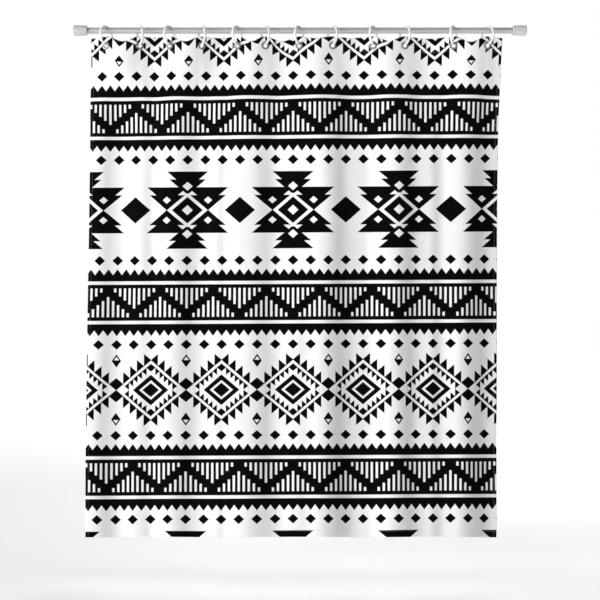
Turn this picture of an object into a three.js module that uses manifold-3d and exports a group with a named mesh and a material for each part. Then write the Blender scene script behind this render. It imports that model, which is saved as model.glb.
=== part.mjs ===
// Shower curtain: one printed polyester sheet with pressed-in eyelets, hung by twelve snap rings
// from an extending tension rod. Millimetres, +Z up, the user stands on the -Y side.
// The origin is the centre of the left wall pad's outer face, and the rod runs along +X.
import * as THREE from "three";
import { mergeVertices } from "three/addons/utils/BufferGeometryUtils.js";
import Module from "manifold-3d";

const wasm = await Module();
wasm.setup();

// Rod
const ROD_LENGTH = 1652; // wall to wall, fully shut
const OUTER_TUBE_RADIUS = 11;
const TUBE_WALL = 0.8;
const TUBE_CLEARANCE = 0.3;
const INNER_TUBE_LENGTH = 760;
const SEAT_GAP = 0.3;

// End caps and wall pads
const CAP_LENGTH = 50; // from the wall to the cap's mouth
const CAP_WALL_RADIUS = 19;
const CAP_MOUTH_RADIUS = 17.5;
const CAP_EDGE = 2;
const CAP_FLOOR = 6;
const MOUTH_DEPTH = 14; // how far the outer tube reaches into the right cap
const PAD_RADIUS = 16;
const PAD_THICKNESS = 3;
const PAD_PROUD = 1.5;

// Twist lock inside the rod
const SPINDLE_RADIUS = 6;
const SPINDLE_STEM = 28;
const COLLAR_LENGTH = 22;
const COLLAR_SLOT_DEGREES = 20;
const LOCK_FLANGE = 3;

// Snap rings, at the places along the rod where a hand left them
const RING_RADIUS = 33; // to the middle of the bar
const RING_BAR = 3.2;
const RING_YAW = 28; // degrees, to one side and the other in turn
const RING_MOUTH_DEGREES = 7;
const RING_MOUTH_AT = 248; // degrees from the top, over the front
const FIRST_RING = 118; // from the left wall
const LAST_RING = 141; // from the right wall
const RING_GAPS = [123, 108, 118, 130, 102, 124, 122, 149, 115, 178, 124]; // in proportion

// Curtain sheet and its eyelets
const SHEET_HEIGHT = 1829;
const SHEET_THICKNESS = 1;
const HEADER_MARGIN = 33.5; // top edge to the middle of the eyelets, on rings of the radius below
const HEADER_RING_RADIUS = 33; // smaller rings take a header that is narrower in proportion
const SIDE_MARGIN = 56; // side edge to the first and the last eyelet
const FOLD_SLOPE = 0.25; // how steeply the cloth crosses the line of the rings
const FOLD_STEPS = 6;
const EYELET_HOLE = 7;
const EYELET_RADIUS = 14;
const EYELET_BARREL = 10.5;
const EYELET_THICKNESS = 3.8;
const EYELET_SIDES = 16;
const CLOTH_CLEARANCE = 0.3;
const HANG_GAP = 0.5; // between an eyelet and the ring that carries it

// Sizes that follow from the ones above
const outerTubeBore = OUTER_TUBE_RADIUS - TUBE_WALL;
const innerTubeRadius = outerTubeBore - TUBE_CLEARANCE;
const innerTubeBore = innerTubeRadius - TUBE_WALL;
const capFloorAt = PAD_THICKNESS + SEAT_GAP + CAP_FLOOR;
const outerTubeStart = capFloorAt + SEAT_GAP;
const outerTubeEnd = ROD_LENGTH - CAP_LENGTH + MOUTH_DEPTH - SEAT_GAP;
const innerTubeEnd = ROD_LENGTH - capFloorAt - SEAT_GAP;
const innerTubeStart = innerTubeEnd - INNER_TUBE_LENGTH;
const ringCentreZ = OUTER_TUBE_RADIUS + SEAT_GAP - (RING_RADIUS - RING_BAR);
const hangZ = ringCentreZ - RING_RADIUS + RING_BAR;
const eyeletZ = hangZ + HANG_GAP - EYELET_HOLE;
const headerMargin = (HEADER_MARGIN * RING_RADIUS) / HEADER_RING_RADIUS;
const sheetTop = eyeletZ + headerMargin;

const ringSpan = ROD_LENGTH - FIRST_RING - LAST_RING;
const gapScale = ringSpan / RING_GAPS.reduce((sum, gap) => sum + gap, 0);
const ringPlaces = [FIRST_RING];
for (const gap of RING_GAPS) {
  ringPlaces.push(ringPlaces[ringPlaces.length - 1] + gap * gapScale);
}
const lastRing = ringPlaces[ringPlaces.length - 1];

// Materials
const finish = (color, roughness, metalness) => {
  return new THREE.MeshStandardMaterial({ color, roughness, metalness });
};
const tubeMetal = finish(0x9c9c9e, 0.35, 0.8);
const capPlastic = finish(0xdedede, 0.4, 0);
const padRubber = finish(0xcfcfcf, 0.8, 0);
const lockPlastic = finish(0x3c3f44, 0.5, 0);
const ringPlastic = finish(0xf2f2f2, 0.25, 0);
const eyeletMetal = finish(0xb8b8b8, 0.3, 0.9);
const cloth = finish(0xf4f4f4, 0.8, 0);

const part = new THREE.Group();

function addMesh(name, geometry, material) {
  const mesh = new THREE.Mesh(geometry, material);
  mesh.name = name;
  part.add(mesh);
  return mesh;
}

// A body of revolution about the rod's axis: each point is [distance along X, radius].
function turnedAboutX(points, sides) {
  const profile = points.map(([along, radius]) => new THREE.Vector2(radius, along));
  const geometry = new THREE.LatheGeometry(profile, sides);
  geometry.rotateZ(-Math.PI / 2);
  return geometry;
}

// A straight tube, open at both ends.
function tubeGeometry(start, end, outside, inside) {
  const corners = [[start, inside], [start, outside], [end, outside], [end, inside], [start, inside]];
  return turnedAboutX(corners, 32);
}

// A cap for the left end. Its wall side is recessed for the pad, and its mouth takes the tube.
// boreRadius is the deep bore, and mouthDepth is how far the wider mouth reaches in.
function capGeometry(boreRadius, mouthDepth) {
  const mouthRadius = OUTER_TUBE_RADIUS + TUBE_CLEARANCE;
  const recess = PAD_THICKNESS + SEAT_GAP;
  const points = [
    [recess, 0],
    [recess, PAD_RADIUS + SEAT_GAP],
    [PAD_PROUD, PAD_RADIUS + SEAT_GAP],
    [PAD_PROUD, CAP_WALL_RADIUS - CAP_EDGE],
    [PAD_PROUD + CAP_EDGE, CAP_WALL_RADIUS],
    [CAP_LENGTH - CAP_EDGE, CAP_MOUTH_RADIUS],
    [CAP_LENGTH, CAP_MOUTH_RADIUS - CAP_EDGE],
    [CAP_LENGTH, mouthRadius],
  ];
  if (boreRadius < mouthRadius) {
    points.push([CAP_LENGTH - mouthDepth, mouthRadius], [CAP_LENGTH - mouthDepth, boreRadius]);
  }
  points.push([capFloorAt, boreRadius], [capFloorAt, 0]);
  return turnedAboutX(points, 32);
}

function padGeometry() {
  return turnedAboutX([[0, 0], [0, PAD_RADIUS], [PAD_THICKNESS, PAD_RADIUS], [PAD_THICKNESS, 0]], 32);
}

// The plug in the inner tube's end: a stem in the tube, a round hub for the collar, and a flange.
function spindleGeometry() {
  const hubEnd = innerTubeStart - SEAT_GAP;
  const hubStart = hubEnd - LOCK_FLANGE - COLLAR_LENGTH - 2 * SEAT_GAP;
  return turnedAboutX([
    [hubStart - LOCK_FLANGE, 0],
    [hubStart - LOCK_FLANGE, innerTubeRadius],
    [hubStart, innerTubeRadius],
    [hubStart, SPINDLE_RADIUS],
    [hubEnd - LOCK_FLANGE, SPINDLE_RADIUS],
    [hubEnd - LOCK_FLANGE, innerTubeRadius],
    [hubEnd, innerTubeRadius],
    [hubEnd, innerTubeBore - SEAT_GAP],
    [hubEnd + SPINDLE_STEM, innerTubeBore - SEAT_GAP],
    [hubEnd + SPINDLE_STEM, 0],
  ], 32);
}

// The split collar that grips the outer tube's bore when the rod is twisted.
function collarGeometry() {
  const half = THREE.MathUtils.degToRad(COLLAR_SLOT_DEGREES / 2);
  const shape = new THREE.Shape();
  shape.absarc(0, 0, innerTubeRadius, half, 2 * Math.PI - half, false);
  shape.absarc(0, 0, SPINDLE_RADIUS + TUBE_CLEARANCE, 2 * Math.PI - half, half, true);
  shape.closePath();
  const options = { depth: COLLAR_LENGTH, bevelEnabled: false, curveSegments: 28 };
  const geometry = new THREE.ExtrudeGeometry(shape, options);
  geometry.rotateY(Math.PI / 2);
  geometry.translate(innerTubeStart - LOCK_FLANGE - COLLAR_LENGTH - 2 * SEAT_GAP, 0, 0);
  return geometry;
}

// The middle line of a snap ring in the YZ plane, open at its mouth on the far side.
class RingLine extends THREE.Curve {
  getPoint(t, target = new THREE.Vector3()) {
    const start = RING_MOUTH_AT + RING_MOUTH_DEGREES / 2;
    const angle = THREE.MathUtils.degToRad(start + t * (360 - RING_MOUTH_DEGREES));
    return target.set(0, -RING_RADIUS * Math.sin(angle), RING_RADIUS * Math.cos(angle));
  }
}

function ringGeometry() {
  const bar = new THREE.Shape();
  bar.absarc(0, 0, RING_BAR, 0, 2 * Math.PI, false);
  const options = { extrudePath: new RingLine(), steps: 30, bevelEnabled: false, curveSegments: 4 };
  return new THREE.ExtrudeGeometry(bar, options);
}

// A pressed eyelet, turned about Y: two flanges on a barrel, with a groove that holds the cloth.
function eyeletGeometry() {
  const face = EYELET_THICKNESS / 2;
  const groove = SHEET_THICKNESS / 2 + CLOTH_CLEARANCE;
  const profile = [
    [EYELET_HOLE, 0],
    [EYELET_HOLE + 1, -face],
    [EYELET_RADIUS, -face],
    [EYELET_RADIUS, -groove],
    [EYELET_BARREL, -groove],
    [EYELET_BARREL, groove],
    [EYELET_RADIUS, groove],
    [EYELET_RADIUS, face],
    [EYELET_HOLE + 1, face],
    [EYELET_HOLE, 0],
  ];
  return new THREE.LatheGeometry(profile.map(([r, y]) => new THREE.Vector2(r, y)), EYELET_SIDES);
}

// The sheet crosses the rod's line at each eyelet and folds forward and back in turn between them.
const foldKnots = [FIRST_RING - 2 * SIDE_MARGIN, ...ringPlaces, lastRing + 2 * SIDE_MARGIN];

function foldAt(span, t) {
  const width = foldKnots[span + 1] - foldKnots[span];
  const side = span % 2 === 0 ? 1 : -1;
  const x = foldKnots[span] + t * width;
  const y = side * ((FOLD_SLOPE * width) / Math.PI) * Math.sin(Math.PI * t);
  return new THREE.Vector2(x, y);
}

function foldLine() {
  const line = [];
  const lastSpan = foldKnots.length - 2;
  for (let span = 0; span <= lastSpan; span += 1) {
    const from = span === 0 ? FOLD_STEPS / 2 : 0;
    const to = span === lastSpan ? FOLD_STEPS / 2 : FOLD_STEPS - 1;
    for (let step = from; step <= to; step += 1) {
      line.push(foldAt(span, step / FOLD_STEPS));
    }
  }
  return line;
}

function toSolid(geometry) {
  const bare = geometry.clone();
  bare.deleteAttribute("normal");
  bare.deleteAttribute("uv");
  const merged = mergeVertices(bare, 1e-4);
  const vertProperties = new Float32Array(merged.attributes.position.array);
  const triVerts = new Uint32Array(merged.index.array);
  return new wasm.Manifold(new wasm.Mesh({ numProp: 3, vertProperties, triVerts }));
}

function toGeometry(solid) {
  const mesh = solid.getMesh();
  const geometry = new THREE.BufferGeometry();
  geometry.setAttribute("position", new THREE.BufferAttribute(mesh.vertProperties, 3));
  geometry.setIndex(new THREE.BufferAttribute(mesh.triVerts, 1));
  geometry.computeVertexNormals();
  return geometry;
}

// Rings and eyelets turn to the left and to the right in turn.
function turnOf(index, degrees) {
  return THREE.MathUtils.degToRad(index % 2 === 0 ? -degrees : degrees);
}

const clothTurn = THREE.MathUtils.radToDeg(Math.atan(FOLD_SLOPE));

function sheetGeometry() {
  const line = foldLine();
  const half = SHEET_THICKNESS / 2;
  const front = line.map((p) => new THREE.Vector2(p.x, p.y - half));
  const back = line.map((p) => new THREE.Vector2(p.x, p.y + half)).reverse();
  const shape = new THREE.Shape([...front, ...back]);
  const plate = new THREE.ExtrudeGeometry(shape, { depth: SHEET_HEIGHT, bevelEnabled: false });
  plate.translate(0, 0, sheetTop - SHEET_HEIGHT);
  let solid = toSolid(plate);
  ringPlaces.forEach((x, index) => {
    const radius = EYELET_BARREL + CLOTH_CLEARANCE;
    const cutter = new THREE.CylinderGeometry(radius, radius, 4 * EYELET_THICKNESS, EYELET_SIDES);
    cutter.rotateZ(turnOf(index, clothTurn));
    cutter.translate(x, 0, eyeletZ);
    solid = solid.subtract(toSolid(cutter));
  });
  return toGeometry(solid);
}

function mirroredEnd(mesh) {
  mesh.rotation.z = Math.PI;
  mesh.position.x = ROD_LENGTH;
}

const nodeNumber = (index) => String(index + 1).padStart(2, "0");

// Rod
const outerTube = tubeGeometry(outerTubeStart, outerTubeEnd, OUTER_TUBE_RADIUS, outerTubeBore);
const innerTube = tubeGeometry(innerTubeStart, innerTubeEnd, innerTubeRadius, innerTubeBore);
addMesh("outer_tube", outerTube, tubeMetal);
addMesh("cap_left", capGeometry(OUTER_TUBE_RADIUS + TUBE_CLEARANCE, 0), capPlastic);
addMesh("pad_left", padGeometry(), padRubber);
addMesh("inner_tube", innerTube, tubeMetal);
addMesh("lock_spindle", spindleGeometry(), lockPlastic);
addMesh("lock_collar", collarGeometry(), lockPlastic);
mirroredEnd(addMesh("cap_right", capGeometry(innerTubeRadius + TUBE_CLEARANCE, MOUTH_DEPTH), capPlastic));
mirroredEnd(addMesh("pad_right", padGeometry(), padRubber));

// Rings, eyelets and sheet
ringPlaces.forEach((x, index) => {
  const ring = addMesh("ring_" + nodeNumber(index), ringGeometry(), ringPlastic);
  ring.position.set(x, 0, ringCentreZ);
  ring.rotation.z = turnOf(index, RING_YAW);
  const eyelet = addMesh("eyelet_" + nodeNumber(index), eyeletGeometry(), eyeletMetal);
  eyelet.position.set(x, 0, eyeletZ);
  eyelet.rotation.z = turnOf(index, clothTurn);
});
addMesh("curtain_sheet", sheetGeometry(), cloth);

export default part;
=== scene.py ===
"""Shower curtain: a printed polyester sheet on twelve snap rings, under an extending tension rod.
Metres, +Z up. The rod runs along +X from the left wall pad, and the user stands on the -Y side."""
import math

import bmesh
import bpy
import numpy as np
from mathutils import Matrix, Vector


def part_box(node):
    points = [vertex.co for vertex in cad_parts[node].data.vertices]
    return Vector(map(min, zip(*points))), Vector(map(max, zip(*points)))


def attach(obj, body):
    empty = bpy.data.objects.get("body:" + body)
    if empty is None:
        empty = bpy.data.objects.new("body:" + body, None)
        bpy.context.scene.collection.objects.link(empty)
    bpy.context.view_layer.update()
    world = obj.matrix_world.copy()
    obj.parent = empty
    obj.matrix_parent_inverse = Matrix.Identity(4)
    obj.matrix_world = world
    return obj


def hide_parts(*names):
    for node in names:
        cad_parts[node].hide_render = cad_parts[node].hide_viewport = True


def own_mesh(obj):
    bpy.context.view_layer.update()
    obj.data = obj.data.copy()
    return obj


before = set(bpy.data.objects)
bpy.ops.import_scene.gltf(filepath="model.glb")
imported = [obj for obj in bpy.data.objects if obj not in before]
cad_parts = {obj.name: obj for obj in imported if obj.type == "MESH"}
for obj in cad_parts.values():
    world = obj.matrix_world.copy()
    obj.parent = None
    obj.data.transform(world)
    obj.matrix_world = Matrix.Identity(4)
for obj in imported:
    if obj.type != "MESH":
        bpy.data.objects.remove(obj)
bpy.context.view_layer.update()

# --------------------------------------------------------------------------- sizes from the frame
RINGS = ["%02d" % n for n in range(1, 13)]
MM = 0.001


def middle(node):
    low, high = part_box(node)
    return [(a + b) / 2 for a, b in zip(low, high)]


tube_low, tube_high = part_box("outer_tube")
inner_low, inner_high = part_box("inner_tube")
sheet_low, sheet_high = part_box("curtain_sheet")
TUBE_RADIUS = (tube_high[2] - tube_low[2]) / 2
INNER_RADIUS = (inner_high[2] - inner_low[2]) / 2
WALL_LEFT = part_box("pad_left")[0][0]
WALL_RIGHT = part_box("pad_right")[1][0]
RING_PLACES = [middle("ring_" + n)[0] for n in RINGS]
RING_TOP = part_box("ring_01")[1][2]
RING_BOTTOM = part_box("ring_01")[0][2]
TUBE_WALL = 0.8 * MM
FIT = 0.3 * MM
BAR = 3.2 * MM
RING_RADIUS = (RING_TOP - RING_BOTTOM) / 2 - BAR
RING_MIDDLE = (RING_TOP + RING_BOTTOM) / 2
RING_YAW = math.radians(28)
HEADER_SLOPE = 0.25
CLOTH_YAW = math.atan(HEADER_SLOPE)
EYELET_MIDDLE = middle("eyelet_01")[2]

CUT_WIDTH = 1.524
CUT_HEIGHT = 1.829
SHEET_TOP = sheet_high[2]
SHEET_LEFT = sheet_low[0]
SHEET_RIGHT = sheet_high[0]
CLOTH_THICKNESS = 0.0011
SIDE_HEM, TOP_HEM, BOTTOM_HEM = 0.012, 0.042, 0.024
# The header of the cloth faces one way and the other in turn, from ring to ring.
TURNS = [1, -1] * 6


# --------------------------------------------------------------------------- camera, light and room
def aim(thing, spot, target):
    thing.location = spot
    thing.rotation_euler = (Vector(target) - Vector(spot)).to_track_quat("-Z", "Y").to_euler()


# The eye is level with the middle of the hanging cloth, and sees this much width at the rod.
EYE_DISTANCE, EYE_HEIGHT, VIEW_WIDTH = 3.3, -0.984, 2.192


def make_camera():
    data = bpy.data.cameras.new("camera")
    data.sensor_width = 36
    data.lens = 36 * EYE_DISTANCE / VIEW_WIDTH
    camera = bpy.data.objects.new("camera", data)
    bpy.context.scene.collection.objects.link(camera)
    aim(camera, (0.826, -EYE_DISTANCE, EYE_HEIGHT), (0.826, 0, EYE_HEIGHT))
    bpy.context.scene.camera = camera


def make_lamp(name, spot, target, size, power):
    data = bpy.data.lights.new(name, "AREA")
    data.shape = "RECTANGLE"
    data.size, data.size_y = size
    data.energy = power
    lamp = bpy.data.objects.new(name, data)
    bpy.context.scene.collection.objects.link(lamp)
    aim(lamp, spot, target)


def make_light():
    make_lamp("key_lamp", (-12.5, -7.0, 0.1), (0.9, 0, -0.9), (4.8, 4.2), 2320)
    make_lamp("fill_lamp", (3.4, -4.6, -0.4), (0.8, 0, -1.0), (2.6, 2.6), 11)
    make_lamp("top_lamp", (0.8, -0.6, 2.0), (0.8, 0.1, 0.0), (3.0, 1.2), 14)
    make_lamp("back_lamp", (2.6, 4.2, 0.6), (0.8, 0, -1.0), (2.6, 2.6), 130)
    world = bpy.data.worlds.new("room")
    bpy.context.scene.world = world
    world.use_nodes = True
    nodes, links = world.node_tree.nodes, world.node_tree.links
    soft = nodes["Background"]
    soft.inputs["Color"].default_value = (1, 1, 1, 1)
    soft.inputs["Strength"].default_value = 0.05
    seen = nodes.new("ShaderNodeBackground")
    seen.inputs["Color"].default_value = (1, 1, 1, 1)
    path = nodes.new("ShaderNodeLightPath")
    either = nodes.new("ShaderNodeMixShader")
    links.new(path.outputs["Is Camera Ray"], either.inputs[0])
    links.new(soft.outputs[0], either.inputs[1])
    links.new(seen.outputs[0], either.inputs[2])
    links.new(either.outputs[0], nodes["World Output"].inputs["Surface"])
    bpy.context.scene.view_settings.view_transform = "Standard"
    bpy.context.scene.view_settings.look = "None"


# --------------------------------------------------------------------------- finishes
class Wire:
    """One socket of a finish. Sums written with wires add the Math nodes that work them out."""

    def __init__(self, finish, socket):
        self.finish = finish
        self.socket = socket

    def math(self, operation, *values):
        return self.finish.node("ShaderNodeMath", {"operation": operation}, dict(enumerate(values)))

    def __add__(self, other):
        return self.math("ADD", self, other)

    __radd__ = __add__

    def __sub__(self, other):
        return self.math("SUBTRACT", self, other)

    def __rsub__(self, other):
        return self.math("SUBTRACT", other, self)

    def __mul__(self, other):
        return self.math("MULTIPLY", self, other)

    __rmul__ = __mul__

    def __neg__(self):
        return self.math("MULTIPLY", self, -1)

    def __abs__(self):
        return self.math("ABSOLUTE", self)

    def clamped(self):
        return high(low(self, 1), 0)

    def rounded(self):
        return self.math("ROUND", self)

    def sine(self):
        return self.math("SINE", self)

    def from_nearest(self, pitch):
        """Distance to the nearest whole number of pitches."""
        return self.math("PINGPONG", self, pitch / 2)

    def past_last(self, pitch):
        """Distance past the last whole number of pitches."""
        return self.math("FLOORED_MODULO", self, pitch)


def low(first, *others):
    for other in others:
        first = first.math("MINIMUM", first, other)
    return first


def high(first, *others):
    for other in others:
        first = first.math("MAXIMUM", first, other)
    return first


class Finish:
    """A material and the nodes that make it."""

    def __init__(self, name):
        self.material = bpy.data.materials.new(name)
        self.material.use_nodes = True
        self.tree = self.material.node_tree
        self.tree.nodes.clear()

    def node(self, kind, settings=None, inputs=None, output=0):
        """A node of that kind: its settings first, then its sockets, as values or wires."""
        node = self.tree.nodes.new(kind)
        for key, value in (settings or {}).items():
            setattr(node, key, value)
        for key, value in (inputs or {}).items():
            socket = node.inputs[key]
            if isinstance(value, Wire):
                self.tree.links.new(value.socket, socket)
            elif isinstance(value, tuple) and socket.type == "RGBA":
                socket.default_value = (*value, 1)
            else:
                socket.default_value = value
        return Wire(self, node.outputs[output]) if len(node.outputs) else None

    def place(self):
        """Where a point is on the object, in metres."""
        return self.node("ShaderNodeTexCoord", output="Object")

    def axes(self, vector):
        first = self.node("ShaderNodeSeparateXYZ", None, {0: vector})
        return [Wire(self, socket) for socket in first.socket.node.outputs]

    def vector(self, x, y, z=0.0):
        return self.node("ShaderNodeCombineXYZ", None, {0: x, 1: y, 2: z})

    def scaled(self, vector, by):
        return self.node("ShaderNodeVectorMath", {"operation": "MULTIPLY"}, {0: vector, 1: by})

    def noise(self, vector, scale, detail=2.0, rough=0.5):
        inputs = {"Vector": vector, "Scale": scale, "Detail": detail, "Roughness": rough}
        return self.node("ShaderNodeTexNoise", None, inputs)

    def mixed(self, share, first, second):
        return self.node("ShaderNodeMix", {"data_type": "RGBA"}, {0: share, 6: first, 7: second}, 2)

    def bump(self, height, distance, strength, under=None):
        inputs = {"Height": height, "Distance": distance, "Strength": strength}
        if under is not None:
            inputs["Normal"] = under
        return self.node("ShaderNodeBump", None, inputs)

    def done(self, **sockets):
        inputs = {key.replace("_", " "): value for key, value in sockets.items()}
        shader = self.node("ShaderNodeBsdfPrincipled", None, inputs)
        self.node("ShaderNodeOutputMaterial", None, {"Surface": shader})
        return self.material


# The print, in millimetres on the cut cloth. Signed distances are negative inside the ink.
COLUMN_PITCH = 65.1
MIDDLE_COLUMN = 757.0
PRINT_COLUMN = 759.0
STAR_ROW = 632.6
ROW_STEP = 656.65
BAND_FROM_STAR = 337.3
# The print runs a little off square: it drops this much per millimetre across, from this height.
PRINT_SKEW, PRINT_RISE = 0.0047, 3.6


def diamond(x, y, half_width, half_height):
    size = half_width * half_height / math.hypot(half_width, half_height)
    return (abs(x) * (1 / half_width) + abs(y) * (1 / half_height) - 1) * size


def comb(x, rise):
    """Nine upright bars, the middle one longest. rise is the height above the foot of the bars."""
    pitch, half_width, longest, step = 18.17, 4.9, 74.9, 14.8
    number = (x * (1 / pitch)).rounded()
    side = abs(x - number * pitch) - half_width
    top = rise - longest + number * step
    return high(side, -rise, top, (number - 4.5) * 10)


def band(x, y):
    """One black band of bars between two saw edges, with a row of diamonds on either side."""
    saw_reach, tooth_slope, foot, row_at = 121.3, 1.32, 53.2, 153.5
    away = abs(y)
    saw = (away - saw_reach + x.from_nearest(COLUMN_PITCH / 2) * tooth_slope) * 0.6
    line = abs(away - 72.15) - 6.75
    group = x.from_nearest(3 * COLUMN_PITCH)
    bars = low(comb(group, y + foot), comb(1.5 * COLUMN_PITCH - group, foot - y))
    row = diamond(x.from_nearest(COLUMN_PITCH), away - row_at, 18.9, 17.0)
    return low(high(saw, -line, -bars), row)


def tree(x, rise):
    """A stepped tree on its tip."""
    lean, step, lower_top, upper_foot, upper_top = 1.2, 25.5, 54.1, 40, 82.9
    lower = high((x - rise * lean) * 0.64, rise - lower_top, -rise)
    upper = high((x - rise * lean + step) * 0.64, rise - upper_top, upper_foot - rise)
    return low(lower, upper)


def star(x, y):
    """A star of four trees round a framed diamond, and the lone diamond between two stars."""
    side_tree, top_tree = 76.0, 57.4
    side = abs(x - side_tree)
    trees = low(tree(x, y - top_tree), tree(side, y))
    outer = diamond(x, y, 76.0, 63.2)
    holes = low(diamond(x, y - 87.3, 19.5, 16.8), diamond(side, y - 36.7, 16.3, 13.9), outer)
    heart = high(diamond(x, y, 55.2, 47.5), -diamond(x, y, 20.7, 19.2))
    lone = diamond(3 * COLUMN_PITCH - x, y, 55.2, 47.5)
    return low(high(trees, -holes), heart, lone)


def rosette(x, y):
    """Diamonds inside one another with saw teeth, and the small two-tone diamonds between."""
    heart = diamond(x, y, 30.0, 25.0)
    ring = high(diamond(x, y, 65.3, 55.0), -diamond(x, y, 43.7, 36.5))
    inside = 95.0 - x * 0.8268 - y
    tooth_pitch, point_pitch = 16.275, 26.05
    tooth = tooth_pitch - x.past_last(tooth_pitch)
    teeth = high(high(-inside, inside - tooth * 1.6536) * 0.77, x - 97.6)
    outside = y - 109.3 + x * 0.8395
    points = high(-outside, outside - x.past_last(point_pitch) * 1.679) * 0.766
    aside, above = 2 * COLUMN_PITCH - x, y - 106.7
    lit = high(diamond(aside, above, 11.6, 16.4), 1.6 - above)
    joint = high(diamond(aside, above, 16.3, 23.0), -lit)
    return low(heart, ring, teeth, points, joint)


def printed(finish, across, down):
    """How much ink there is, from 0 to 1."""
    x = across - PRINT_COLUMN
    from_star = (down - STAR_ROW).from_nearest(2 * ROW_STEP)
    ink = band(x, from_star - BAND_FROM_STAR)
    ink = low(ink, star(x.from_nearest(6 * COLUMN_PITCH), from_star))
    ink = low(ink, rosette(x.from_nearest(4 * COLUMN_PITCH), ROW_STEP - from_star))
    bleed = finish.noise(finish.vector(across, down), 1.1, 1.0) * 0.7
    return (1.9 - (ink + bleed) * 1.4).clamped()


def cloth_finish(name, white, black, strike, sheen):
    """Printed polyester. strike is how strongly the ink shows on this side of the cloth."""
    finish = Finish(name)
    spot = finish.node("ShaderNodeUVMap", {"uv_map": "cloth"})
    u, v, _ = finish.axes(spot)
    across, down = u * 2000, (1 - v) * 2000
    ink = printed(finish, across, down + across * PRINT_SKEW - PRINT_RISE) * strike
    slubs = finish.noise(finish.vector(across * 0.02, down * 0.9), 1.0, 3.0, 0.65)
    threads = finish.noise(finish.vector(across * 1.1, down * 0.03), 1.0, 3.0, 0.65)
    crossing = (across * 8.2).sine() * (down * 8.2).sine()
    uneven = 0.5 + (slubs + threads - 1) * 0.35 + crossing * 0.3
    shaded = tuple(c * 0.955 for c in white)
    clean = finish.mixed(uneven.clamped(), shaded, white)
    colour = finish.mixed(ink, clean, black)
    worn = finish.noise(finish.vector(across, down), 0.012, 3.0)
    rough = 0.72 + worn * 0.12 + ink * 0.06
    weave = crossing * 0.6 + (slubs + threads) * 0.6
    cloth = finish.bump(weave, 0.0001, 0.7)
    sides = low(across - SIDE_HEM * 1000, (CUT_WIDTH - SIDE_HEM) * 1000 - across)
    seam = abs(low(sides, down - TOP_HEM * 1000, (CUT_HEIGHT - BOTTOM_HEM) * 1000 - down))
    pucker = (1 - seam * 0.25).clamped() * (0.6 + (across + down).from_nearest(5.0) * 0.2)
    sewn = finish.bump(pucker, 0.0006, 0.7, cloth)
    sockets = {"Base_Color": colour, "Roughness": rough, "Normal": sewn}
    return finish.done(**sockets, Sheen_Weight=sheen, Sheen_Roughness=0.5, Specular_IOR_Level=0.05)


def thread_finish():
    finish = Finish("sewing_thread")
    x, y, z = finish.axes(finish.place())
    ply = (x * 2600 + z * 2600 + y * 1800).sine()
    colour = finish.mixed(ply * 0.5 + 0.5, (0.42, 0.42, 0.43), (0.62, 0.62, 0.62))
    twist = finish.bump(ply, 0.0001, 0.6)
    rough = 0.7 + ply * 0.05
    return finish.done(Base_Color=colour, Roughness=rough, Normal=twist, Sheen_Weight=0.2)


def ring_finish():
    """Milky moulded plastic, with faint flow marks and hairline scuffs where the ring slides."""
    finish = Finish("ring_plastic")
    place = finish.place()
    flow = finish.noise(finish.scaled(place, (60, 160, 60)), 1.0, 3.0)
    scuff = finish.noise(finish.scaled(place, (900, 60, 60)), 1.0, 2.0, 0.7)
    z = finish.axes(place)[2]
    rubbed = ((z - (RING_TOP - 0.012)) * 120).clamped() * (scuff * 2 - 0.6).clamped()
    colour = finish.mixed(flow, (0.72, 0.73, 0.74), (0.86, 0.86, 0.87))
    colour = finish.mixed(rubbed * 0.4, colour, (0.6, 0.6, 0.62))
    rough = 0.2 + flow * 0.1 + rubbed * 0.25
    skin = finish.bump(flow + scuff * 0.2, 0.0002, 0.35)
    sockets = {"Base_Color": colour, "Roughness": rough, "Normal": skin}
    return finish.done(**sockets, Specular_IOR_Level=0.35)


def eyelet_finish():
    """Pressed nickel-plated eyelet, with a cloudy tone and fine spun marks."""
    finish = Finish("eyelet_nickel")
    place = finish.place()
    cloudy = finish.noise(place, 240.0, 4.0, 0.6)
    spun = finish.noise(finish.scaled(place, (1500, 90, 1500)), 1.0, 2.0)
    colour = finish.mixed(cloudy, (0.26, 0.26, 0.27), (0.42, 0.42, 0.41))
    rough = 0.22 + cloudy * 0.14 + spun * 0.06
    skin = finish.bump(spun, 0.00005, 0.5)
    return finish.done(Base_Color=colour, Roughness=rough, Metallic=1.0, Normal=skin)


def rod_finish(name, dark, bright):
    """Satin metal drawn along the rod, with faint rub marks round it."""
    finish = Finish(name)
    place = finish.place()
    drawn = finish.noise(finish.scaled(place, (3, 900, 900)), 1.0, 3.0, 0.6)
    rubs = finish.noise(finish.scaled(place, (700, 40, 40)), 1.0, 2.0, 0.7)
    haze = finish.noise(place, 9.0, 3.0)
    colour = finish.mixed(drawn * 0.5 + haze * 0.5, dark, bright)
    rough = 0.5 + drawn * 0.08 + (rubs - 0.5).clamped() * 0.3 + haze * 0.05
    skin = finish.bump(drawn * 0.6 + rubs * 0.4, 0.00004, 0.5)
    return finish.done(Base_Color=colour, Roughness=rough, Metallic=0.85, Normal=skin)


def plastic_finish(name, dark, bright, rough, grain):
    """Moulded plastic with a fine spark grain and faint wear."""
    finish = Finish(name)
    place = finish.place()
    spark = finish.noise(place, grain, 2.0, 0.7)
    cloud = finish.noise(place, 28.0, 4.0, 0.55)
    scratch = finish.noise(finish.scaled(place, (60, 900, 300)), 1.0, 2.0, 0.8)
    colour = finish.mixed(cloud * 0.7 + spark * 0.3, dark, bright)
    skin = finish.bump(spark + scratch * 0.4, 0.00012, 0.45)
    shine = rough + spark * 0.08 + (scratch - 0.55).clamped() * 0.4
    return finish.done(Base_Color=colour, Roughness=shine, Normal=skin)


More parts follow.
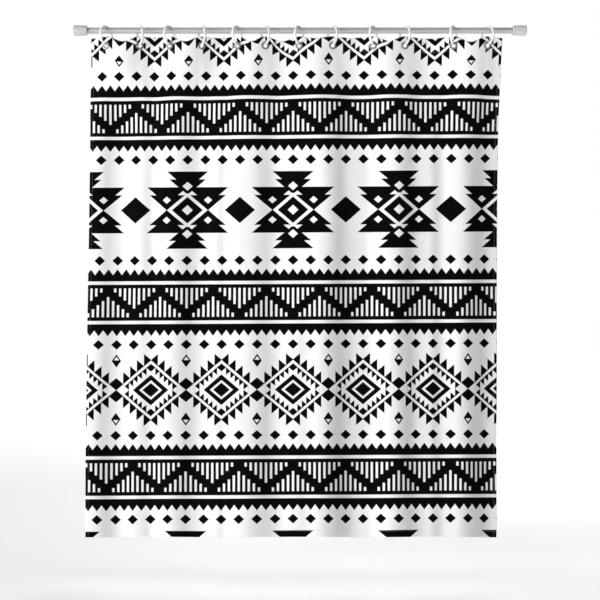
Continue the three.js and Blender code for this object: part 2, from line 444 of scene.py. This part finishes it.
def floor_finish():
    """White paper that glows a little more the farther it lies from the curtain."""
    finish = Finish("studio_floor")
    place = finish.place()
    far = finish.node("ShaderNodeVectorMath", {"operation": "LENGTH"}, {0: place}, "Value")
    glow = ((far - 2.6) * 0.28).clamped()
    paper = finish.noise(place, 3.0, 4.0)
    colour = finish.mixed(paper, (0.86, 0.86, 0.86), (0.9, 0.9, 0.9))
    lit = finish.mixed(glow, (0.44, 0.44, 0.44), (0.95, 0.95, 0.95))
    skin = finish.bump(paper, 0.001, 0.2)
    sockets = {"Base_Color": colour, "Emission_Color": lit, "Normal": skin}
    return finish.done(**sockets, Roughness=0.9, Emission_Strength=1.0)


# --------------------------------------------------------------------------- making meshes
def make_piece(name, points, faces, *finishes):
    mesh = bpy.data.meshes.new(name)
    mesh.from_pydata([tuple(p) for p in points], [], faces)
    return add_piece(name, mesh, *finishes)


def add_piece(name, mesh, *finishes):
    mesh.name = name
    mesh.materials.clear()
    for finish in finishes:
        mesh.materials.append(finish)
    mesh.polygons.foreach_set("use_smooth", [True] * len(mesh.polygons))
    piece = bpy.data.objects.new(name, mesh)
    bpy.context.scene.collection.objects.link(piece)
    return piece


def turned(profile, sides):
    """A body turned about X from a closed profile of (along, radius). Radius 0 is a pole."""
    points, rows, faces = [], [], []
    for along, radius in profile:
        if radius == 0:
            rows.append([len(points)] * sides)
            points.append((along, 0, 0))
            continue
        rows.append(list(range(len(points), len(points) + sides)))
        for side in range(sides):
            angle = 2 * math.pi * side / sides
            points.append((along, radius * math.sin(angle), radius * math.cos(angle)))
    for row, following in zip(rows, rows[1:] + rows[:1]):
        for side in range(sides):
            corners = [row[side], row[side - 1], following[side - 1], following[side]]
            corners = list(dict.fromkeys(corners))
            if len(corners) > 2:
                faces.append(corners)
    return points, faces


def rounded(profile, radius=0.0004, steps=3):
    """The profile with each corner turned to a small round, so that every edge catches light."""
    result = []
    count = len(profile)
    for index, spot in enumerate(profile):
        here = Vector(spot)
        before, after = Vector(profile[index - 1]), Vector(profile[(index + 1) % count])
        if here.y == 0:
            result.append(tuple(here))
            continue
        reach = min(radius, (before - here).length * 0.45, (after - here).length * 0.45)
        start = here + (before - here).normalized() * reach
        end = here + (after - here).normalized() * reach
        for step in range(steps + 1):
            t = step / steps
            result.append(tuple(start * (1 - t) ** 2 + here * (2 * t * (1 - t)) + end * t**2))
    return result


def turned_piece(name, profile, sides, turn, *finishes):
    """A turned body, put in place by the matrix turn, with its faces outwards."""
    points, faces = turned(profile, sides)
    piece = make_piece(name, points, faces, *finishes)
    shape = bmesh.new()
    shape.from_mesh(piece.data)
    bmesh.ops.remove_doubles(shape, verts=shape.verts, dist=1e-7)
    bmesh.ops.transform(shape, matrix=turn, verts=shape.verts)
    bmesh.ops.recalc_face_normals(shape, faces=shape.faces)
    shape.to_mesh(piece.data)
    shape.free()
    piece.data.set_sharp_from_angle(angle=math.radians(50))
    return piece


# --------------------------------------------------------------------------- geometry node trees
class Tree:
    """A Geometry Nodes tree with named inputs."""

    def __init__(self, name, **sizes):
        self.group = bpy.data.node_groups.new(name, "GeometryNodeTree")
        face = self.group.interface
        face.new_socket("Geometry", in_out="INPUT", socket_type="NodeSocketGeometry")
        face.new_socket("Geometry", in_out="OUTPUT", socket_type="NodeSocketGeometry")
        self.named = {}
        for key, value in sizes.items():
            kind = "NodeSocketInt" if isinstance(value, int) else "NodeSocketFloat"
            socket = face.new_socket(key.replace("_", " "), in_out="INPUT", socket_type=kind)
            socket.default_value = value
            self.named[key] = (socket.identifier, value)
        socket = face.new_socket("Finish", in_out="INPUT", socket_type="NodeSocketMaterial")
        self.named["Finish"] = (socket.identifier, None)
        self.given = self.add("NodeGroupInput")

    def add(self, kind, settings=None, **links):
        node = self.group.nodes.new(kind)
        for key, value in (settings or {}).items():
            setattr(node, key, value)
        for key, value in links.items():
            socket = node.inputs[key.replace("_", " ")]
            if isinstance(value, bpy.types.NodeSocket):
                self.group.links.new(value, socket)
            else:
                socket.default_value = value
        return node

    def finish_with(self, geometry):
        whole = self.add("GeometryNodeRealizeInstances", Geometry=geometry)
        painted = self.add("GeometryNodeSetMaterial", Geometry=whole.outputs[0])
        self.group.links.new(self.given.outputs["Finish"], painted.inputs["Material"])
        end = self.add("NodeGroupOutput")
        self.group.links.new(painted.outputs[0], end.inputs[0])

    def run(self, source, name, finish, **sizes):
        """The plain mesh that this tree makes from the object source, which is then removed."""
        change = source.modifiers.new("tree", "NODES")
        change.node_group = self.group
        for key, (identifier, value) in self.named.items():
            if key != "Finish":
                change[identifier] = sizes.get(key, value)
        change[self.named["Finish"][0]] = finish
        graph = bpy.context.evaluated_depsgraph_get()
        mesh = bpy.data.meshes.new_from_object(source.evaluated_get(graph))
        bpy.data.objects.remove(source)
        return add_piece(name, mesh, finish)


def bar_tree():
    """An oval bar along each path, as thick at each point as the path says, closed at its ends."""
    tree = Tree("bar_along_path", Bar_Radius=BAR, Bar_Width=1.4, Bar_Sides=18)
    given = tree.given.outputs
    round_bar = tree.add("GeometryNodeCurvePrimitiveCircle", Resolution=given["Bar Sides"])
    tree.group.links.new(given["Bar Radius"], round_bar.inputs["Radius"])
    size = tree.add("ShaderNodeCombineXYZ", X=given["Bar Width"], Y=1.0, Z=1.0)
    oval = tree.add("GeometryNodeTransform", Geometry=round_bar.outputs[0], Scale=size.outputs[0])
    links = {"Curve": given["Geometry"], "Profile_Curve": oval.outputs[0], "Fill_Caps": True}
    swept = tree.add("GeometryNodeCurveToMesh", **links)
    if "Scale" in swept.inputs:
        thick = tree.add("GeometryNodeInputRadius")
        tree.group.links.new(thick.outputs[0], swept.inputs["Scale"])
    tree.finish_with(swept.outputs[0])
    return tree


def stitch_tree():
    """A row of lockstitches along each line: a short plump loop of thread at every pitch."""
    tree = Tree("stitch_row", Pitch=0.005, Length=0.0032, Thread=0.0005)
    given = tree.given.outputs
    line = tree.add("GeometryNodeMeshToCurve", Mesh=given["Geometry"])
    spots = tree.add("GeometryNodeResampleCurve", Curve=line.outputs[0])
    if "Mode" in spots.inputs:
        spots.inputs["Mode"].default_value = "Length"
    else:
        spots.mode = "LENGTH"
    tree.group.links.new(given["Pitch"], spots.inputs["Length"])
    loop = tree.add("GeometryNodeMeshUVSphere", Segments=6, Rings=5, Radius=0.5)
    size = tree.add("ShaderNodeCombineXYZ", X=given["Length"], Y=given["Thread"], Z=given["Thread"])
    way = tree.add("GeometryNodeInputTangent")
    turn = tree.add("FunctionNodeAlignRotationToVector", {"axis": "X"}, Vector=way.outputs[0])
    links = {"Points": spots.outputs[0], "Instance": loop.outputs[0], "Scale": size.outputs[0]}
    placed = tree.add("GeometryNodeInstanceOnPoints", **links)
    tree.group.links.new(turn.outputs[0], placed.inputs["Rotation"])
    tree.finish_with(placed.outputs[0])
    return tree


# --------------------------------------------------------------------------- rod
def make_rod():
    satin = rod_finish("rod_satin", (0.50, 0.50, 0.51), (0.62, 0.62, 0.63))
    inner_satin = rod_finish("inner_rod_satin", (0.46, 0.46, 0.47), (0.58, 0.58, 0.59))
    for name, body, radius, ends, finish in (
        ("rod_outer_tube", "rod", TUBE_RADIUS, (tube_low[0], tube_high[0]), satin),
        ("rod_inner_tube", "inner_rod", INNER_RADIUS, (inner_low[0], inner_high[0]), inner_satin),
    ):
        inside = radius - TUBE_WALL
        start, end = ends
        steps = [start + (end - start) * n / 24 for n in range(25)]
        profile = [(x, radius) for x in steps] + [(x, inside) for x in reversed(steps)]
        piece = turned_piece(name, rounded(profile, radius=0.0003), 64, Matrix.Identity(4), finish)
        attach(piece, body)
        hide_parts(name.replace("rod_", ""))


def make_ends():
    shell = plastic_finish("cap_plastic", (0.47, 0.47, 0.48), (0.58, 0.58, 0.59), 0.38, 900.0)
    rubber = plastic_finish("pad_rubber", (0.44, 0.44, 0.44), (0.56, 0.56, 0.55), 0.62, 1400.0)
    for side, body, bore, deep in (
        ("left", "rod", TUBE_RADIUS + FIT, None),
        ("right", "inner_rod", INNER_RADIUS + FIT, 36 * MM),
    ):
        mouth = TUBE_RADIUS + FIT
        outside = [(3.3, 0), (3.3, 16.3), (1.5, 16.3), (1.5, 17.0), (2.2, 18.4), (3.6, 19.0)]
        outside += [(9.0, 18.85), (9.6, 18.45), (10.4, 18.45), (11.0, 18.8), (41.0, 17.75)]
        outside += [(41.6, 17.3), (42.4, 17.3), (43.0, 17.7), (48.2, 17.5), (49.5, 16.8)]
        outside += [(50.0, 15.5)]
        profile = [(x * MM, r * MM) for x, r in outside]
        profile += [(50 * MM, mouth + 1.2 * MM), (49.2 * MM, mouth)]
        if deep:
            profile += [(deep, mouth), (deep, bore)]
        profile += [(9.3 * MM, bore), (9.3 * MM, 0)]
        turn = Matrix.Translation((WALL_LEFT, 0, 0))
        if side == "right":
            turn = Matrix.Translation((WALL_RIGHT, 0, 0)) @ Matrix.Rotation(math.pi, 4, "Z")
        cap = turned_piece("end_cap_" + side, rounded(profile), 72, turn, shell)
        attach(cap, body)
        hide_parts("cap_" + side)
        profile = [(0.35, 0), (0.35, 2.0)]
        for rib in (3.5, 6.5, 9.5, 12.5):
            profile += [(0.35, rib - 0.9), (0.0, rib - 0.5), (0.0, rib + 0.5), (0.35, rib + 0.9)]
        profile += [(0.0, 14.6), (0.0, 15.2), (0.5, 16.0), (2.9, 16.0), (2.9, 0)]
        profile = [(x * MM, r * MM) for x, r in profile]
        soft_edge = rounded(profile, radius=0.0002, steps=2)
        pad = turned_piece("wall_pad_" + side, soft_edge, 64, turn, rubber)
        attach(pad, body)
        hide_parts("pad_" + side)


def finish_lock():
    """The lock inside the rod keeps its CAD shapes and gets moulded nylon."""
    nylon = plastic_finish("lock_nylon", (0.03, 0.032, 0.036), (0.06, 0.062, 0.068), 0.4, 700.0)
    for name in ("lock_spindle", "lock_collar"):
        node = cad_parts[name]
        if not node.material_slots:
            node.data.materials.append(nylon)
        for slot in node.material_slots:
            slot.material = nylon


# --------------------------------------------------------------------------- rings and eyelets
# Each end of a ring's bar has a domed tip, a knob, and a neck behind it, at these distances.
KNOB_AT, NECK_AT, SWELL_LENGTH, TIP_LENGTH = 0.0045, 0.0105, 0.0022, 0.0028


def bar_thickness(from_end):
    """How thick a ring's bar is at a distance from its mouth, as a share of its full thickness."""
    knob = 0.12 * math.exp(-(((from_end - KNOB_AT) / SWELL_LENGTH) ** 2))
    neck = 0.2 * math.exp(-(((from_end - NECK_AT) / SWELL_LENGTH) ** 2))
    domed = min(1.0, (from_end + 0.0001) / TIP_LENGTH)
    tip = math.sqrt(max(0.0, 1 - (1 - domed) ** 2))
    return (1 + knob - neck) * max(tip, 0.12)


def make_rings(tree):
    finish = ring_finish()
    start, sweep, steps = math.radians(251.5), math.radians(353.0), 110
    for index, number in enumerate(RINGS):
        yaw = -RING_YAW if index % 2 == 0 else RING_YAW
        turn = Matrix.Translation((RING_PLACES[index], 0, RING_MIDDLE))
        turn = turn @ Matrix.Rotation(yaw, 4, "Z")
        path = bpy.data.curves.new("ring_path", "CURVE")
        path.dimensions = "3D"
        line = path.splines.new("POLY")
        line.points.add(steps)
        for step, point in enumerate(line.points):
            t = step / steps
            angle = start + t * sweep
            spot = Vector((0, -RING_RADIUS * math.sin(angle), RING_RADIUS * math.cos(angle)))
            point.co = (*(turn @ spot), 1)
            point.radius = bar_thickness(min(t, 1 - t) * sweep * RING_RADIUS)
        source = bpy.data.objects.new("ring_path", path)
        bpy.context.scene.collection.objects.link(source)
        ring = tree.run(source, "snap_ring_" + number, finish)
        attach(ring, "ring_" + number)
        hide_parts("ring_" + number)


def make_eyelets():
    finish = eyelet_finish()
    for index, number in enumerate(RINGS):
        yaw = -CLOTH_YAW if index % 2 == 0 else CLOTH_YAW
        turn = Matrix.Translation((RING_PLACES[index], 0, EYELET_MIDDLE))
        turn = turn @ Matrix.Rotation(yaw, 4, "Z") @ Matrix.Rotation(-math.pi / 2, 4, "Z")
        front = [(0.8, 10.5), (0.8, 13.6), (0.9, 14.0), (1.35, 13.8), (1.8, 12.6)]
        front += [(1.9, 11.2), (1.85, 9.6), (1.5, 8.2), (0.8, 7.3)]
        back = [(-x, r) for x, r in reversed(front)]
        profile = [(x * MM, r * MM) for x, r in front + [(0.0, 7.0)] + back]
        eyelet = turned_piece("eyelet_nickel_" + number, profile, 40, turn, finish)
        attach(eyelet, "eyelet_" + number)
        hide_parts("eyelet_" + number)


# --------------------------------------------------------------------------- the sheet
# Slope of the body's folds, left to right: (millimetres from the left edge, slope).
FOLDS = [
    (0, -0.20), (30, 0.00), (66, 0.32), (95, 0.20), (126, -0.02), (160, -0.28), (195, 0.00),
    (226, 0.20), (255, -0.34), (295, -0.20), (327, 0.08), (368, 0.30), (394, 0.16), (427, -0.04),
    (461, -0.34), (494, 0.12), (528, -0.32), (561, -0.12), (595, 0.02), (628, 0.20), (662, 0.32),
    (695, 0.10), (728, -0.22), (762, -0.12), (795, 0.02), (829, -0.26), (862, -0.02), (895, 0.26),
    (930, 0.50), (962, 0.30), (996, 0.10), (1029, 0.06), (1062, -0.30), (1095, -0.32), (1129, 0.00),
    (1162, 0.32), (1192, 0.50), (1225, 0.18), (1262, -0.02), (1292, 0.38), (1329, -0.14),
    (1362, -0.14), (1395, 0.20), (1428, 0.44), (1462, 0.54), (1495, 0.22), (1524, 0.04),
]


# How far the top edge droops in the middle of each span, from the left edge to the right, in mm.
DROOPS = [6, 20, 2, 20, 3, 20, 15, 9, 2, 19, 4, 22, 3]


def fold_depths():
    """The depth of the body's folds, every millimetre from the left edge to the right."""
    places = np.arange(0, 1525)
    slopes = np.interp(places, [p for p, _ in FOLDS], [s for _, s in FOLDS])
    window = np.hanning(27)
    padded = np.pad(slopes, 13, mode="edge")
    slopes = np.convolve(padded, window / window.sum(), "valid")
    depth = np.cumsum(slopes) / 1000
    depth -= np.linspace(depth[0], depth[-1], len(depth))
    return depth - (depth.max() + depth.min()) / 2


def smooth_step(value, start, end):
    t = np.clip((value - start) / (end - start), 0, 1)
    return t * t * (3 - 2 * t)


FOLD_DEPTHS = fold_depths()
KNOTS = [2 * SHEET_LEFT - RING_PLACES[0], *RING_PLACES, 2 * SHEET_RIGHT - RING_PLACES[-1]]
KNOTS = np.array(KNOTS)
# From the sheet's left edge to the middle column of the print, along the rod.
LEFT_PART = 0.7368


def hung(across, down):
    """Where the cloth hangs: points for arrays of metres from its left edge and its top edge."""
    t = across - MIDDLE_COLUMN * MM
    centre = SHEET_LEFT + LEFT_PART
    left_width = LEFT_PART + 0.007 * smooth_step(down, 0.06, 0.3)
    left_width = left_width + 0.0205 * smooth_step(down, 0.0, 1.75)
    right_width = (SHEET_RIGHT - centre) - 0.017 * (1 - np.exp(-down / 0.35))
    left = t * left_width / (MIDDLE_COLUMN * MM)
    right = t * right_width / (CUT_WIDTH - MIDDLE_COLUMN * MM)
    x = centre + np.where(t < 0, left, right)
    # between the rings the header folds forward and back in turn, and its edge droops
    span = np.clip(np.searchsorted(KNOTS, x, side="right") - 1, 0, len(KNOTS) - 2)
    width = KNOTS[span + 1] - KNOTS[span]
    phase = np.clip((x - KNOTS[span]) / width, 0, 1)
    arch = np.sin(np.pi * phase)
    header = np.where(span % 2 == 0, 1, -1) * HEADER_SLOPE * width / np.pi * arch
    sag = np.array(DROOPS)[span] * MM * arch**2.2 * np.exp(-((down / 0.085) ** 1.6))
    depth = np.interp(across * 1000, np.arange(1525), FOLD_DEPTHS)
    drift = 0.0025 * np.sin(down * 3.1 + across * 9) * smooth_step(down, 0.3, 0.9)
    fuller = 1 + 0.22 * smooth_step(down, 0.7, 1.5) * smooth_step(-across, -1.0, -0.4)
    body = depth * fuller * (1 + 0.06 * np.sin(down * 2.3 + across * 4.0)) + drift
    share = smooth_step(down, 0.05, 0.36)
    y = header * (1 - share) + body * share
    ripple = np.sin(across * 61 + np.sin(down * 5) * 1.4) * np.sin(down * 7.3 + across * 11)
    y = y + 0.0008 * ripple * smooth_step(down, 0.06, 0.2)
    # soft pleats run down from each eyelet and die out
    pleat_width, pleat_depth = 0.016, 0.0022
    dying = smooth_step(down, 0.05, 0.09) * np.exp(-down / 0.3)
    for place, turn in zip(RING_PLACES, TURNS):
        away = (x - place) / pleat_width
        y = y + turn * pleat_depth * away * np.exp(-(away**2)) * dying
    y = y - CLOTH_THICKNESS / 2
    z = SHEET_TOP - down - sag
    z = z - 0.001 * smooth_step(down, 1.6, 1.83) * np.sin(across * 13 + 1)
    # forward folds hang a few millimetres short, so the rows of the print look level from the front
    z = z + (z - EYE_HEIGHT) * y / EYE_DISTANCE * smooth_step(down, 0.15, 0.5)
    return np.stack([x, y, z], -1)


def spread(*stretches):
    """Places along one edge: each stretch is (end, number of steps)."""
    places, start = [0.0], 0.0
    for end, count in stretches:
        places += list(np.linspace(start, end, count + 1)[1:])
        start = end
    return np.array(places)


def make_sheet():
    face = cloth_finish("cloth_face", (0.87, 0.87, 0.88), (0.0012, 0.0012, 0.0014), 1.0, 0.01)
    reverse = cloth_finish("cloth_reverse", (0.84, 0.84, 0.85), (0.05, 0.05, 0.055), 0.82, 0.05)
    header_rows = 34
    columns = spread((SIDE_HEM, 4), (CUT_WIDTH - SIDE_HEM, 200), (CUT_WIDTH, 4))
    rows = spread((0.12, header_rows), (CUT_HEIGHT - BOTTOM_HEM, 138), (CUT_HEIGHT, 6))
    across, down = np.meshgrid(columns, rows)
    points = hung(across, down).reshape(-1, 3)
    flat = np.stack([across, down], -1).reshape(-1, 2)
    wide = len(columns)
    faces = []
    # faces this near an eyelet's middle are left out, and the hole's rim is then made round
    hole, rim = 0.0098, 0.0114
    for row in range(len(rows) - 1):
        for column in range(wide - 1):
            corner = row * wide + column
            corners = [corner, corner + wide, corner + wide + 1, corner + 1]
            middle_x, _, middle_z = points[corners].mean(0)
            rise = middle_z - EYELET_MIDDLE
            near = min(math.hypot(middle_x - x, rise) for x in RING_PLACES)
            if row < header_rows and near < hole:
                continue
            faces.append(corners)
    used = sorted({corner for corners in faces for corner in corners})
    renumber = {old: new for new, old in enumerate(used)}
    faces = [[renumber[corner] for corner in corners] for corners in faces]
    points, flat = points[used], flat[used]
    # the cloth is flat where an eyelet clamps it
    for place, turn in zip(RING_PLACES, TURNS):
        away = points[:, [0, 2]] - (place, EYELET_MIDDLE)
        reach = np.hypot(away[:, 0], away[:, 1])
        inner = reach < rim
        points[inner, 0] = place + away[inner, 0] / reach[inner] * rim
        points[inner, 2] = EYELET_MIDDLE + away[inner, 1] / reach[inner] * rim
        flatten = 1 - smooth_step(reach, 0.0145, 0.022)
        plane = -turn * HEADER_SLOPE * (points[:, 0] - place) - CLOTH_THICKNESS / 2
        points[:, 1] = points[:, 1] * (1 - flatten) + plane * flatten
    sheet = make_piece("printed_sheet", points, faces, face, reverse)
    layer = sheet.data.uv_layers.new(name="cloth")
    corners = np.zeros(len(sheet.data.loops), np.int32)
    sheet.data.loops.foreach_get("vertex_index", corners)
    spots = flat[corners] / 2
    spots[:, 1] = 1 - spots[:, 1]
    layer.uv.foreach_set("vector", spots.astype(np.float32).ravel())
    hem = sheet.vertex_groups.new(name="hem")
    edge = np.minimum(flat[:, 0] - SIDE_HEM, CUT_WIDTH - SIDE_HEM - flat[:, 0])
    edge = np.minimum(edge, flat[:, 1] - TOP_HEM)
    edge = np.minimum(edge, CUT_HEIGHT - BOTTOM_HEM - flat[:, 1])
    single_layer = 0.45
    for index, inside in enumerate(edge):
        hem.add([index], 1.0 if inside <= 1e-6 else single_layer, "REPLACE")
    thick = sheet.modifiers.new("thickness", "SOLIDIFY")
    thick.thickness = CLOTH_THICKNESS
    thick.offset = -1
    thick.vertex_group = "hem"
    thick.use_quality_normals = True
    thick.material_offset = 1
    thick.material_offset_rim = 0
    graph = bpy.context.evaluated_depsgraph_get()
    mesh = bpy.data.meshes.new_from_object(sheet.evaluated_get(graph))
    bpy.data.objects.remove(sheet)
    sheet = bpy.data.objects.new("printed_sheet", mesh)
    bpy.context.scene.collection.objects.link(sheet)
    return sheet


def make_stitches(tree):
    """The sewn lines of the header, the side hems and the bottom hem, just proud of the face."""
    from_edge, side_line = 0.0035, 0.0105
    top_line, header_line, bottom_line = 0.0025, 0.0525, 0.0215
    down = np.linspace(from_edge, CUT_HEIGHT - from_edge, 420)
    across = np.linspace(from_edge, CUT_WIDTH - from_edge, 420)
    lines = [(np.full_like(down, place), down) for place in (side_line, CUT_WIDTH - side_line)]
    for place in (top_line, CUT_HEIGHT - bottom_line, header_line):
        lines.append((across, np.full_like(across, place)))
    points, edges = [], []
    for line in lines:
        line = hung(*line)
        start = len(points)
        points += [tuple(p + np.array((0, -0.0002, 0))) for p in line]
        edges += [(n, n + 1) for n in range(start, start + len(line) - 1)]
    mesh = bpy.data.meshes.new("sewn_lines")
    mesh.from_pydata(points, edges, [])
    source = bpy.data.objects.new("sewn_lines", mesh)
    bpy.context.scene.collection.objects.link(source)
    return tree.run(source, "hem_stitches", thread_finish())


def hang(piece):
    """Cloth and stitches get their own meshes and ride on the curtain body, so they swing together.
    """
    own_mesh(piece)
    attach(piece, "curtain")


def make_floor():
    middle_x, floor_z, reach, sides = 0.8, -2.0, 40, 64
    points = [(middle_x, 0, floor_z)]
    for step in range(sides):
        angle = 2 * math.pi * step / sides
        points.append((middle_x + reach * math.cos(angle), reach * math.sin(angle), floor_z))
    faces = [(0, step + 1, (step + 1) % sides + 1) for step in range(sides)]
    make_piece("studio_floor", points, faces, floor_finish())


make_camera()
make_light()
make_floor()
make_rod()
make_ends()
finish_lock()
make_rings(bar_tree())
make_eyelets()
cloth_sheet = make_sheet()
stitches = make_stitches(stitch_tree())
for soft_piece in (cloth_sheet, stitches):
    hang(soft_piece)
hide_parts("curtain_sheet")
